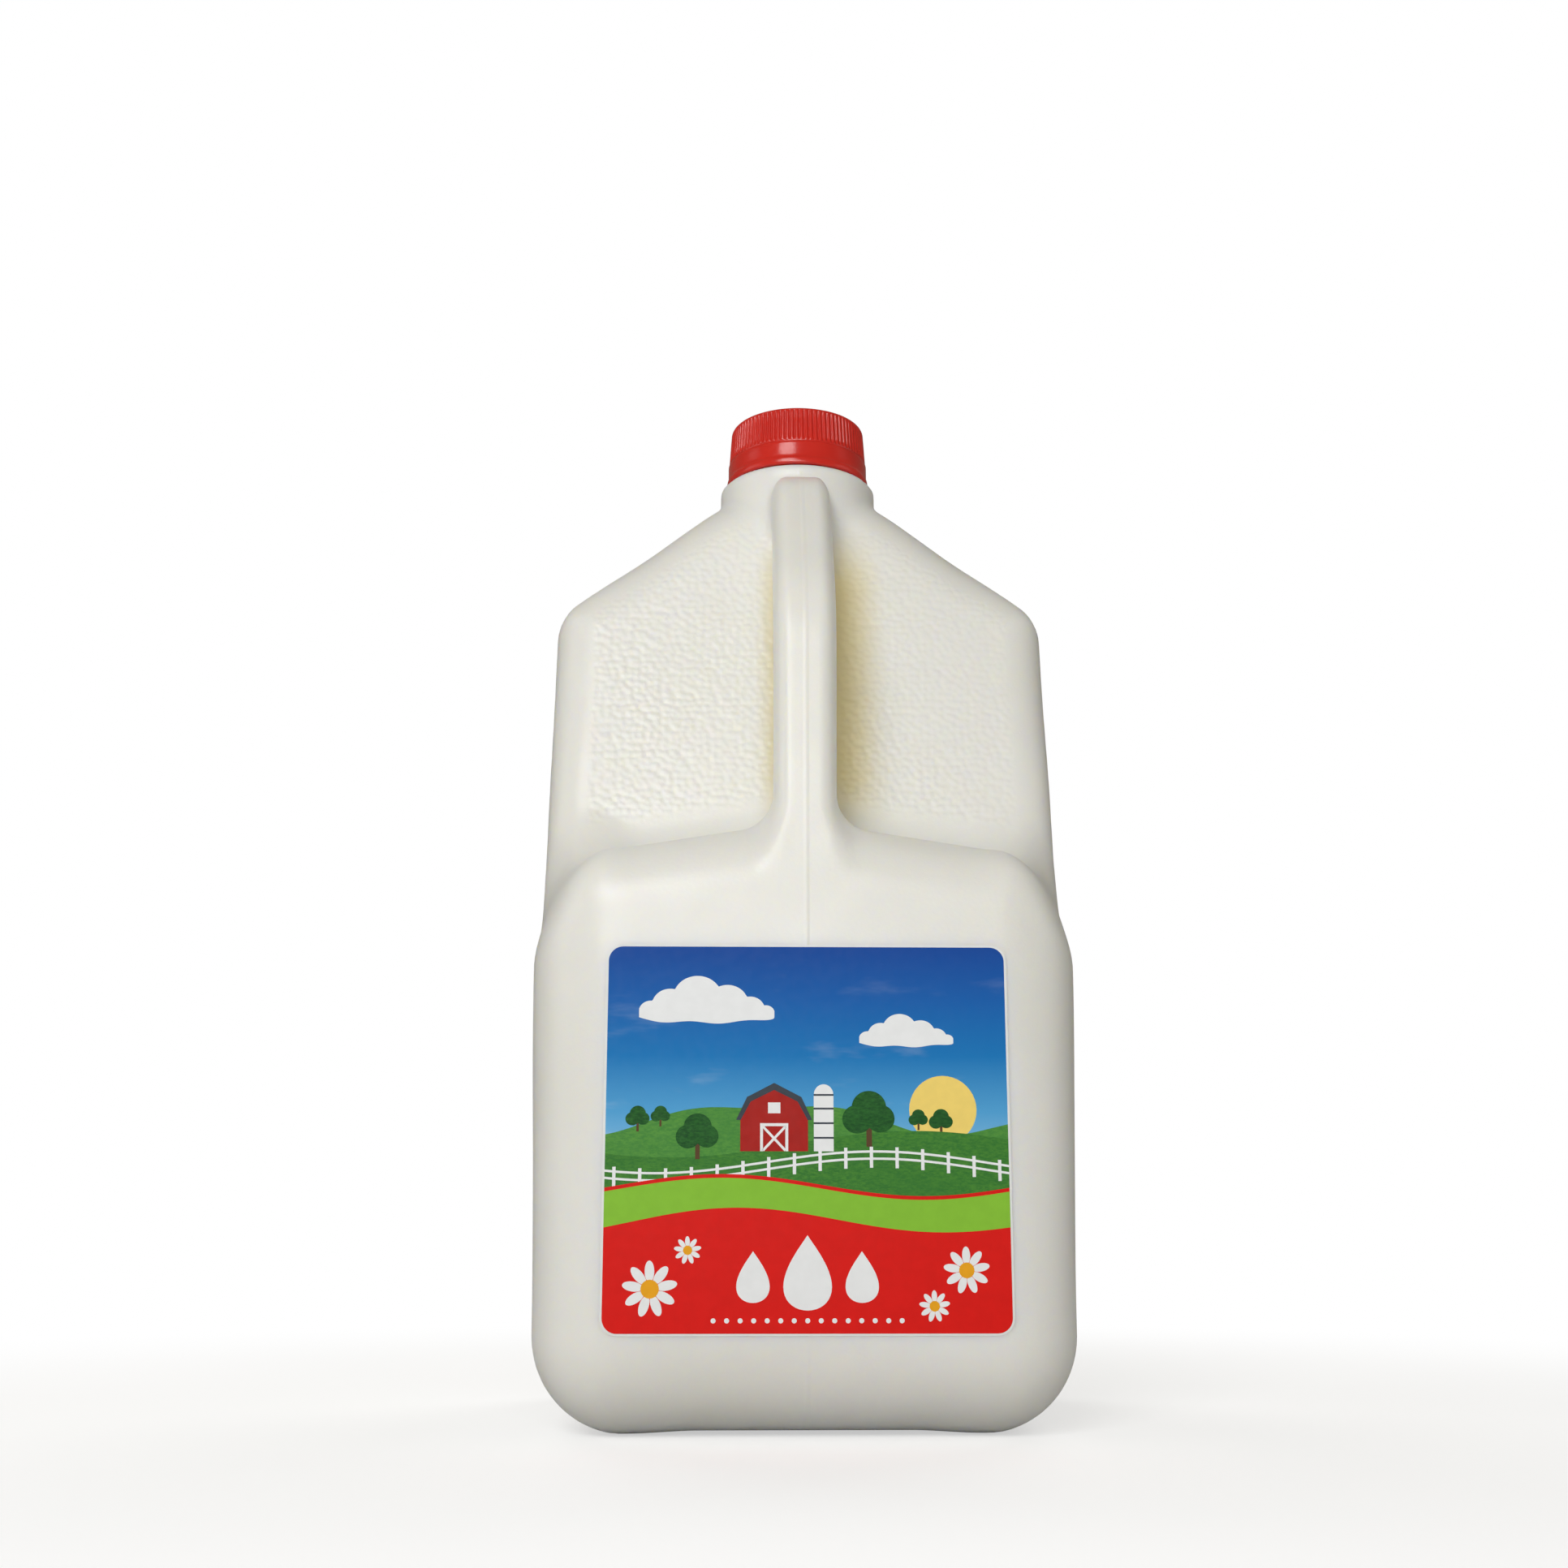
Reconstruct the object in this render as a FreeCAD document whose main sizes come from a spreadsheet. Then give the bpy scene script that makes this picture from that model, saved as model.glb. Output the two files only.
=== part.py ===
"""One gallon plastic milk jug: moulded bottle with its handle, screw cap and front label.

Millimetres, +Z up.  The jug stands on z = 0 with its axis on x = y = 0, and the handle and the label
face -Y.  The sheet "Sizes" holds every driving dimension, and the features are bound to its cells.
"""
import FreeCAD, Part
import math
import os
import Sketcher
from FreeCAD import Vector

SIZES = {
    # bottle body
    "body_width": (139.2, "width across the sides"),
    "body_depth": (138.6, "depth from the label face to the back face"),
    "corner_radius": (23.4, "upright corners seen from above"),
    "base_radius": (22.4, "rounding between the base and the walls"),
    "shoulder_height": (221.6, "height where the walls turn in to the shoulders"),
    "shoulder_rise": (39.0, "rise of the shoulders from the walls to the neck"),
    "shoulder_radius": (15.0, "rounding between the walls and the shoulders"),
    "dish_radius": (39.0, "radius of the pushed-up dish under the base"),
    "dish_rise": (3.9, "rise of that dish in the middle"),
    "dish_rim_width": (7.8, "width of the steep rim of the dish"),
    "dish_rim_rise": (3.1, "rise of that rim"),
    # recess in front of the upper body
    "ledge_height": (152.8, "ledge under the recess, on the centre line"),
    "ledge_fall": (11.0, "how much lower the ledge is at the sides"),
    "ledge_radius": (17.6, "rounding where the ledge meets the sides"),
    "recess_foot": (107.4, "height of the lower cut section"),
    "recess_reach": (12.7, "height of the upper cut section over the foot of the neck"),
    "panel_foot_depth": (43.0, "panel in front of the axis at the lower section"),
    "panel_head_depth": (17.3, "panel in front of the axis at the upper section"),
    "panel_radius": (10.7, "rounding between the panel and the sides"),
    # handle
    "handle_width": (16.4, "width of the handle"),
    "handle_depth": (16.6, "depth of the handle from front to back"),
    "handle_radius": (6.3, "rounding along the handle"),
    "handle_sink": (30.0, "how far the handle starts below the ledge"),
    "bend_drop": (52.7, "bend where the handle leans back, below the foot of the neck"),
    "crown_drop": (1.2, "top of the handle below the foot of the neck"),
    "handle_lean": (35.4, "lean of the upper handle from upright, in degrees"),
    "bend_radius": (29.3, "lower bend along the middle of the handle"),
    "crown_radius": (15.6, "upper bend along the middle of the handle"),
    "root_radius": (9.0, "flare where the handle leaves the ledge"),
    # neck
    "neck_sink": (20.0, "how far the neck reaches down inside the shoulders"),
    "neck_rise": (3.0, "plain neck between the shoulders and the bead"),
    "neck_radius": (21.3, "outside of the neck under its bead"),
    "bead_radius": (22.9, "outside of the bead under the cap"),
    "bead_height": (3.3, "height of the bead"),
    "bead_edge_radius": (1.3, "rounding of the bead's edges"),
    "finish_radius": (18.2, "outside of the mouth inside the cap"),
    # cap
    "cap_gap": (0.5, "gap between the bead and the rim of the cap"),
    "cap_height": (18.2, "height of the cap"),
    "cap_rim_radius": (21.2, "outside of the lip at the rim"),
    "cap_band_radius": (20.8, "outside of the smooth band above the lip"),
    "cap_top_radius": (19.9, "outside of the cap at its top, over the ribs"),
    "cap_lip_height": (2.0, "height of the lip"),
    "cap_band_height": (5.5, "height of the smooth band"),
    "cap_top_wall": (2.7, "thickness of the top of the cap"),
    "cap_clearance": (0.3, "clearance between the cap and the mouth"),
    "cap_edge_radius": (1.2, "rounding of the top edge of the cap"),
    "rib_count": (90, "ribs round the cap"),
    "rib_relief": (0.4, "depth of the grooves between the ribs"),
    "rib_groove": (0.6, "width of the grooves between the ribs"),
    # label
    "label_width": (98.6, "width of the label"),
    "label_height": (93.5, "height of the label"),
    "label_foot": (24.4, "height of the lower edge of the label"),
    "label_radius": (4.1, "corners of the label"),
    "label_wall": (0.3, "thickness of the label with its adhesive"),
}
# Heights that follow from the sizes above, in the order they depend on each other.
DERIVED = {
    "neck_foot": ("shoulder_height + shoulder_rise", "height where the shoulders reach the neck"),
    "recess_head": ("neck_foot + recess_reach", "height of the upper cut section"),
    "handle_start": ("ledge_height - handle_sink", "height where the handle starts inside the body"),
    "handle_bend": ("neck_foot - bend_drop", "height of the bend in the middle of the handle"),
    "handle_crown": ("neck_foot - crown_drop - handle_depth / 2", "height of the middle of the handle at its top"),
    "bead_foot": ("neck_foot + neck_rise", "height of the bead's underside"),
    "bead_top": ("bead_foot + bead_height", "height of the bead's top"),
    "cap_rim": ("bead_top + cap_gap", "height of the cap's rim"),
    "cap_top": ("cap_rim + cap_height", "height of the cap's top"),
    "mouth": ("cap_top - cap_top_wall", "height of the mouth, under the top of the cap"),
}
OVERRUN = 30.0  # how far a cutting tool runs past the body
ROUNDING_STEPS = 4  # flats that make up the rounding between the recess panel and a side
PANEL_OVERHANG = 0.4  # how far that rounding runs past the side
CORNER_OVERHANG = 1.0  # how far the ledge's rounded corner stands outside the side
LEDGE_MARGIN = 1.2  # room left below that corner, as a multiple of its radius
NEAR_FULL = 0.97  # a rounding that would use up its whole side is made this much smaller
CREST_SHARE = 0.25  # part of the ledge's fall that is reached at the handle's root
SAME = 0.01  # lengths closer than this are the same

doc = FreeCAD.newDocument("milk_jug")
sheet = doc.addObject("Spreadsheet::Sheet", "Sizes")
cells = [(alias, str(value), note) for alias, (value, note) in SIZES.items()]
cells += [(alias, f"={formula}", note) for alias, (formula, note) in DERIVED.items()]
for row, (alias, content, note) in enumerate(cells, start=1):
    sheet.set(f"A{row}", note)
    sheet.set(f"B{row}", content)
    sheet.setAlias(f"B{row}", alias)
doc.recompute()


def size(alias):
    """The value in the sheet's cell of that alias."""
    return float(sheet.get(alias))


# ---- sketches ---------------------------------------------------------------------------------
def new_body(name):
    body = doc.addObject("PartDesign::Body", name)
    body.Label = name
    return body


def new_sketch(body, name, role, offset=None):
    """An empty sketch on one of the body's origin planes, moved along its normal by an expression."""
    sketch = body.newObject("Sketcher::SketchObject", name)
    planes = {feature.Role: feature for feature in body.Origin.OriginFeatures}
    sketch.AttachmentSupport = [(planes[role], "")]
    sketch.MapMode = "FlatFace"
    if offset is not None:
        sketch.setExpression("AttachmentOffset.Base.z", offset)
    return sketch


def bind(sketch, kind, parts, start, expression):
    """Add a dimension to the sketch and tie it to an expression."""
    index = sketch.addConstraint(Sketcher.Constraint(kind, *parts, start))
    sketch.setExpression(f"Constraints[{index}]", expression)


def polygon(sketch, corners):
    """A closed outline through corners, each a pair of expressions measured from the sketch's origin."""
    count = len(corners)
    for number in range(count):
        start, end = Vector(number, number * number, 0), Vector(number + 1, (number + 1) ** 2, 0)
        sketch.addGeometry(Part.LineSegment(start, end))
    for number, (across, up) in enumerate(corners):
        sketch.addConstraint(Sketcher.Constraint("Coincident", number - 1 if number else count - 1, 2, number, 1))
        bind(sketch, "DistanceX", (-1, 1, number, 1), 1.0, across)
        bind(sketch, "DistanceY", (-1, 1, number, 1), 1.0, up)


def rounded_rectangle(sketch, width, height, radius, middle="0"):
    """A rectangle with rounded corners, centred on the sketch's upright axis at height middle."""
    x, y, r = 30.0, 20.0, 5.0
    lines = [((-x + r, -y), (x - r, -y)), ((x, -y + r), (x, y - r)),
             ((x - r, y), (-x + r, y)), ((-x, y - r), (-x, -y + r))]
    centres = [(x - r, -y + r), (x - r, y - r), (-x + r, y - r), (-x + r, -y + r)]
    for start, end in lines:
        sketch.addGeometry(Part.LineSegment(Vector(*start, 0), Vector(*end, 0)))
    for turn, centre in enumerate(centres):
        circle = Part.Circle(Vector(*centre, 0), Vector(0, 0, 1), r)
        first = (turn - 1) * math.pi / 2
        sketch.addGeometry(Part.ArcOfCircle(circle, first, first + math.pi / 2))
    for side in range(4):
        arc = 4 + side
        sketch.addConstraint(Sketcher.Constraint("Tangent", side, 2, arc, 1))
        sketch.addConstraint(Sketcher.Constraint("Tangent", arc, 2, (side + 1) % 4, 1))
        if side:
            sketch.addConstraint(Sketcher.Constraint("Horizontal" if side == 2 else "Vertical", side))
            sketch.addConstraint(Sketcher.Constraint("Equal", 4, arc))
    sketch.addConstraint(Sketcher.Constraint("Symmetric", 0, 1, 0, 2, -2))
    bind(sketch, "DistanceX", (3, 1, 1, 1), 2 * x, width)
    bind(sketch, "DistanceY", (0, 1, 2, 1), 2 * y, height)
    bind(sketch, "DistanceY", (-1, 1, 0, 1), -y, f"{middle} - {height} / 2")
    bind(sketch, "Radius", (4,), r, radius)


def edges_where(shape, test):
    """Names of the shape's edges whose middle point passes the test."""
    names = []
    for number, edge in enumerate(shape.Edges, start=1):
        middle = edge.valueAt((edge.FirstParameter + edge.LastParameter) / 2)
        if test(edge, middle):
            names.append(f"Edge{number}")
    return names


# ---- features ---------------------------------------------------------------------------------
def pad(body, sketch, length):
    feature = body.newObject("PartDesign::Pad", f"{body.Name}_pad")
    feature.Profile = sketch
    feature.setExpression("Length", length)
    doc.recompute()
    return feature


def revolve(body, sketch):
    """Turn a sketch on the XZ plane once round the body's axis."""
    feature = body.newObject("PartDesign::Revolution", f"{body.Name}_turned")
    feature.Profile = sketch
    feature.ReferenceAxis = (sketch, ["V_Axis"])
    feature.Angle = 360.0
    doc.recompute()
    return feature


def loft(body, sketches):
    feature = body.newObject("PartDesign::AdditiveLoft", f"{body.Name}_loft")
    feature.Profile = sketches[0]
    feature.Sections = sketches[1:]
    feature.Ruled = True
    doc.recompute()
    return feature


def fillet(body, base, name, radius, test):
    """Round the edges of base that pass the test."""
    feature = body.newObject("PartDesign::Fillet", name)
    feature.Base = (base, edges_where(base.Shape, test))
    feature.setExpression("Radius", radius)
    doc.recompute()
    return feature


def boolean(kind, name, base, tool):
    feature = doc.addObject(kind, name)
    feature.Base = base
    feature.Tool = tool
    doc.recompute()
    return feature


# ---- bottle -----------------------------------------------------------------------------------
def make_block():
    """The body before anything is cut: a rounded square column with sloping shoulders."""
    body = new_body("block")
    plan = new_sketch(body, "block_plan", "XY_Plane")
    rounded_rectangle(plan, "Sizes.body_width", "Sizes.body_depth", "Sizes.corner_radius")
    doc.recompute()
    column = pad(body, plan, "Sizes.shoulder_height")
    fillet(body, column, "block_base", "Sizes.base_radius", lambda edge, at: abs(at.z) < SAME)

    shoulder = new_sketch(body, "block_shoulder", "XY_Plane", "Sizes.shoulder_height")
    rounded_rectangle(shoulder, "Sizes.body_width", "Sizes.body_depth", "Sizes.corner_radius")
    foot = new_sketch(body, "block_neck", "XY_Plane", "Sizes.neck_foot")
    across = "2 * Sizes.neck_radius"
    rounded_rectangle(foot, across, across, f"{NEAR_FULL} * Sizes.neck_radius")
    doc.recompute()
    slopes = loft(body, [shoulder, foot])
    height = size("shoulder_height")
    fillet(body, slopes, "block_shoulders", "Sizes.shoulder_radius", lambda edge, at: abs(at.z - height) < SAME)
    return body


def make_recess():
    """What is cut from the front above the ledge, back to a panel that leans back."""
    depth_tool = new_body("recess_depth")
    sketches = []
    for end in ("foot", "head"):
        sketch = new_sketch(depth_tool, f"recess_{end}", "XY_Plane", f"Sizes.recess_{end}")
        side = f"(Sizes.body_width / 2 + {OVERRUN})"
        edge = f"(Sizes.body_width / 2 + {PANEL_OVERHANG})"
        panel = f"-Sizes.panel_{end}_depth"
        front = f"-(Sizes.body_depth / 2 + {OVERRUN})"
        bend = []
        for step in range(ROUNDING_STEPS + 1):
            turn = math.radians(90.0 * step / ROUNDING_STEPS)
            bend.append((f"({edge} - {1 - math.sin(turn)} * Sizes.panel_radius)",
                         f"({panel} + {1 - math.cos(turn)} * Sizes.panel_radius)"))
        right = bend + [(side, bend[-1][1]), (side, front)]
        left = [(f"-{across}", back) for across, back in reversed(right)]
        polygon(sketch, right + left)
        sketches.append(sketch)
    doc.recompute()
    loft(depth_tool, sketches)

    front_tool = new_body("recess_front")
    outline = new_sketch(front_tool, "recess_outline", "XZ_Plane")
    edge = f"(Sizes.body_width / 2 + {CORNER_OVERHANG})"
    side = f"(Sizes.body_width / 2 + {OVERRUN})"
    corner = "Sizes.ledge_height - Sizes.ledge_fall"
    low = f"{corner} - {LEDGE_MARGIN} * Sizes.ledge_radius"
    high = "Sizes.recess_head"
    polygon(outline, [(f"-{side}", low), (f"-{edge}", low), (f"-{edge}", corner), ("0", "Sizes.ledge_height"),
                      (edge, corner), (edge, low), (side, low), (side, high), (f"-{side}", high)])
    doc.recompute()
    prism = pad(front_tool, outline, f"Sizes.body_depth + {OVERRUN}")
    corner_height = size("ledge_height") - size("ledge_fall")
    fillet(front_tool, prism, "recess_corners", "Sizes.ledge_radius",
           lambda edge, at: abs(at.z - corner_height) < SAME and abs(at.x) > size("body_width") / 2)
    return boolean("Part::Common", "recess", depth_tool, front_tool)


def make_handle():
    """A rounded bar from inside the ledge, up, and back into the neck."""
    body = new_body("handle")
    path = new_sketch(body, "handle_path", "YZ_Plane")
    # rough start positions, which the constraints below replace
    path.addGeometry(Part.LineSegment(Vector(-60, 120, 0), Vector(-60, 200, 0)))
    path.addGeometry(Part.LineSegment(Vector(-55, 215, 0), Vector(-40, 240, 0)))
    path.addGeometry(Part.LineSegment(Vector(-30, 254, 0), Vector(0, 254, 0)))
    path.addGeometry(Part.ArcOfCircle(Part.Circle(Vector(-30, 200, 0), Vector(0, 0, 1), 30), 2.6, 3.14))
    path.addGeometry(Part.ArcOfCircle(Part.Circle(Vector(-26, 238, 0), Vector(0, 0, 1), 16), 1.57, 2.6))
    path.addGeometry(Part.Point(Vector(-60, 210, 0)))
    path.toggleConstruction(5)
    for joint in ((0, 2, 3, 2), (3, 1, 1, 1), (1, 2, 4, 2), (4, 1, 2, 1)):
        path.addConstraint(Sketcher.Constraint("Tangent", *joint))
    path.addConstraint(Sketcher.Constraint("Vertical", 0))
    path.addConstraint(Sketcher.Constraint("Horizontal", 2))
    path.addConstraint(Sketcher.Constraint("PointOnObject", 5, 1, 0))
    path.addConstraint(Sketcher.Constraint("PointOnObject", 5, 1, 1))
    path.addConstraint(Sketcher.Constraint("PointOnObject", 2, 2, -2))
    bind(path, "DistanceX", (-1, 1, 0, 1), -62.5, "-(Sizes.body_depth - Sizes.handle_depth) / 2")
    bind(path, "DistanceY", (-1, 1, 0, 1), 120.0, "Sizes.handle_start")
    bind(path, "DistanceY", (-1, 1, 5, 1), 213.0, "Sizes.handle_bend")
    bind(path, "DistanceY", (-1, 1, 2, 1), 254.5, "Sizes.handle_crown")
    bind(path, "Radius", (3,), 30.0, "Sizes.bend_radius")
    bind(path, "Radius", (4,), 16.0, "Sizes.crown_radius")
    bind(path, "Angle", (-1, 1, 1, 1), 0.95, "(90 - Sizes.handle_lean) * 1 deg")
    section = new_sketch(body, "handle_section", "XY_Plane", "Sizes.handle_start")
    rounded_rectangle(section, "Sizes.handle_width", "Sizes.handle_depth", "Sizes.handle_radius",
                      "-(Sizes.body_depth - Sizes.handle_depth) / 2")
    doc.recompute()
    bar = body.newObject("PartDesign::AdditivePipe", "handle_bar")
    bar.Profile = section
    bar.Spine = path
    doc.recompute()
    return body


def make_root():
    """The web that flares from the handle out on to the ledge."""
    body = new_body("handle_root")
    outline = new_sketch(body, "root_outline", "XZ_Plane", "Sizes.body_depth / 2 - Sizes.handle_depth")
    half = "Sizes.handle_width / 2"
    wide = f"({half} + Sizes.root_radius)"
    foot = "Sizes.ledge_height - Sizes.ledge_radius"
    crest = f"Sizes.ledge_height - {CREST_SHARE} * Sizes.ledge_fall"
    polygon(outline, [(f"-{wide}", foot), (wide, foot), (wide, crest), (half, crest),
                      (half, f"{crest} + Sizes.root_radius"), (f"-{half}", f"{crest} + Sizes.root_radius"),
                      (f"-{half}", crest), (f"-{wide}", crest)])
    doc.recompute()
    web = pad(body, outline, "Sizes.handle_depth")
    crest_height = size("ledge_height") - CREST_SHARE * size("ledge_fall")

    def inner_corner(edge, at):
        across = abs(edge.valueAt(edge.FirstParameter).y - edge.valueAt(edge.LastParameter).y)
        return (abs(at.z - crest_height) < SAME and abs(at.x) < size("handle_width") / 2 + SAME
                and across > size("handle_depth") - SAME)

    fillet(body, web, "root_flare", f"{NEAR_FULL} * Sizes.root_radius", inner_corner)
    return body


def make_neck():
    """The neck, its bead and the mouth that the cap covers."""
    body = new_body("neck")
    outline = new_sketch(body, "neck_outline", "XZ_Plane")
    low = "Sizes.neck_foot - Sizes.neck_sink"
    polygon(outline, [("0", low), ("Sizes.neck_radius", low), ("Sizes.neck_radius", "Sizes.bead_foot"),
                      ("Sizes.bead_radius", "Sizes.bead_foot"), ("Sizes.bead_radius", "Sizes.bead_top"),
                      ("Sizes.finish_radius", "Sizes.bead_top"), ("Sizes.finish_radius", "Sizes.mouth"),
                      ("0", "Sizes.mouth")])
    doc.recompute()
    turned = revolve(body, outline)
    bead = size("bead_radius")
    fillet(body, turned, "bead_round", "Sizes.bead_edge_radius",
           lambda edge, at: abs(math.hypot(at.x, at.y) - bead) < SAME and edge.Closed)
    return body


def make_dish():
    """The shallow push-up under the base."""
    body = new_body("dish")
    outline = new_sketch(body, "dish_outline", "XZ_Plane")
    polygon(outline, [("0", f"-{OVERRUN}"), ("Sizes.dish_radius", f"-{OVERRUN}"), ("Sizes.dish_radius", "0"),
                      ("Sizes.dish_radius - Sizes.dish_rim_width", "Sizes.dish_rim_rise"),
                      ("0", "Sizes.dish_rise")])
    doc.recompute()
    revolve(body, outline)
    return body


def make_bottle():
    carved = boolean("Part::Cut", "carved_block", make_block(), make_recess())
    joined = doc.addObject("Part::MultiFuse", "joined")
    joined.Shapes = [carved, make_handle(), make_root(), make_neck()]
    doc.recompute()
    bottle = boolean("Part::Cut", "bottle_body", joined, make_dish())
    bottle.Label = "bottle"
    return bottle


# ---- cap --------------------------------------------------------------------------------------
def make_cap():
    """A cup over the mouth: plain lip, smooth band, and a ribbed grip that narrows to the top."""
    body = new_body("cap")
    outline = new_sketch(body, "cap_outline", "XZ_Plane")
    rim, top, seat = "Sizes.cap_rim", "Sizes.cap_top", "Sizes.mouth"
    bore = "Sizes.finish_radius + Sizes.cap_clearance"
    lip = f"{rim} + Sizes.cap_lip_height"
    band = f"{lip} + Sizes.cap_band_height"
    polygon(outline, [(bore, rim), ("Sizes.cap_rim_radius", rim), ("Sizes.cap_rim_radius", lip),
                      ("Sizes.cap_band_radius", lip), ("Sizes.cap_band_radius", band),
                      ("Sizes.cap_band_radius - Sizes.rib_relief", f"{band} + Sizes.rib_relief"),
                      ("Sizes.cap_top_radius", top), ("0", top), ("0", seat), (bore, seat)])
    doc.recompute()
    turned = revolve(body, outline)
    height = size("cap_top")
    fillet(body, turned, "cap_edge", "Sizes.cap_edge_radius",
           lambda edge, at: abs(at.z - height) < SAME and edge.Closed)

    slot = new_sketch(body, "cap_slot", "XY_Plane", top)
    floor = "(Sizes.cap_top_radius - Sizes.rib_relief)"
    polygon(slot, [(floor, "-Sizes.rib_groove / 2"), ("Sizes.cap_rim_radius", "-Sizes.rib_groove / 2"),
                   ("Sizes.cap_rim_radius", "Sizes.rib_groove / 2"), (floor, "Sizes.rib_groove / 2")])
    doc.recompute()
    cut = body.newObject("PartDesign::Pocket", "cap_groove")
    cut.Profile = slot
    cut.setExpression("Length", "Sizes.cap_height - Sizes.cap_lip_height - Sizes.cap_band_height")
    doc.recompute()
    ring = body.newObject("PartDesign::PolarPattern", "cap_ribs")
    ring.Originals = [cut]
    ring.Axis = (slot, ["N_Axis"])
    ring.Angle = 360.0
    ring.setExpression("Occurrences", "Sizes.rib_count")
    body.Tip = ring
    doc.recompute()
    return body


def make_label():
    """The flat label on the front face."""
    body = new_body("label")
    outline = new_sketch(body, "label_outline", "XZ_Plane", "Sizes.body_depth / 2")
    rounded_rectangle(outline, "Sizes.label_width", "Sizes.label_height", "Sizes.label_radius",
                      "(Sizes.label_foot + Sizes.label_height / 2)")
    doc.recompute()
    pad(body, outline, "Sizes.label_wall")
    return body


parts = {"bottle": make_bottle(), "cap": make_cap(), "label": make_label()}
doc.recompute()

for item in doc.Objects:
    if "Invalid" in item.State or "Error" in item.State:
        raise RuntimeError(f"{item.Name} did not build: {item.State}")
for node, item in parts.items():
    shape = item.Shape
    if shape.isNull() or not shape.isValid() or len(shape.Solids) != 1:
        raise RuntimeError(f"{node} is not one valid solid")
    box = shape.optimalBoundingBox(True)
    print(f"{node}: {shape.Volume / 1e6:.4f} L, z {box.ZMin:.2f} to {box.ZMax:.2f}, {len(shape.Faces)} faces")

os.makedirs("parts", exist_ok=True)
for node, item in parts.items():
    item.Shape.exportStep(f"parts/{node}.step")
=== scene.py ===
"""A gallon milk jug with a moulded-in handle, a ribbed red cap and a printed label.

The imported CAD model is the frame. Every visible piece here is built in metres in its place and rides on it.
"""
import math

import bmesh
import bpy
import numpy as np
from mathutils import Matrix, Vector


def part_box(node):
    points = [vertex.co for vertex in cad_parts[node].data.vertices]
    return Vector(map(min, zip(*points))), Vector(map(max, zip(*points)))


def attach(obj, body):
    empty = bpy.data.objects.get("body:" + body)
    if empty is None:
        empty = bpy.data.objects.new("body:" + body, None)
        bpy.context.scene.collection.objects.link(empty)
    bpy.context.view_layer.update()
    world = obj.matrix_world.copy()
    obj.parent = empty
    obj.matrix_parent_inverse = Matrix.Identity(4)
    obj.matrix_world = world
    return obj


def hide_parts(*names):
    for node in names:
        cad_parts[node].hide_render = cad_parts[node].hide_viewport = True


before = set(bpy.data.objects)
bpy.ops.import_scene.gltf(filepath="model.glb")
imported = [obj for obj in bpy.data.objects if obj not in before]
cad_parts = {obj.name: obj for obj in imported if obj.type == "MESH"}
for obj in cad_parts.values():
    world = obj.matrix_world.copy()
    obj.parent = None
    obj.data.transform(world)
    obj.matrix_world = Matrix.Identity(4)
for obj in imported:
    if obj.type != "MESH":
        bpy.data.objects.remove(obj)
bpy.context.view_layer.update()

MM = 0.001

# The two flat panels behind the handle, in millimetres: how far in front of the axis they start, at what height,
# and how much they lean back for each millimetre of height.
PANEL_FOOT_Y = 43.0
PANEL_FOOT_Z = 107.4
PANEL_LEAN = 0.1549


# ---------------------------------------------------------------- camera

def make_camera():
    data = bpy.data.cameras.new("view_camera")
    data.sensor_width = 36.0
    data.lens = 40.99
    data.shift_y = 0.0414
    data.clip_start, data.clip_end = 0.01, 50.0
    camera = bpy.data.objects.new("view_camera", data)
    camera.location = (-0.0156, -0.506, 0.0493)
    camera.rotation_euler = (math.radians(90 + 12), 0.0, math.radians(-1.31))
    bpy.context.scene.collection.objects.link(camera)
    bpy.context.scene.camera = camera


make_camera()
bpy.context.scene.view_settings.view_transform = "Standard"


# ---------------------------------------------------------------- node helpers

def srgb(r, g, b):
    """The linear colour of an 8-bit screen colour."""
    def channel(v):
        v /= 255
        return v / 12.92 if v <= 0.04045 else ((v + 0.055) / 1.055) ** 2.4
    return channel(r), channel(g), channel(b), 1.0


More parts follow.
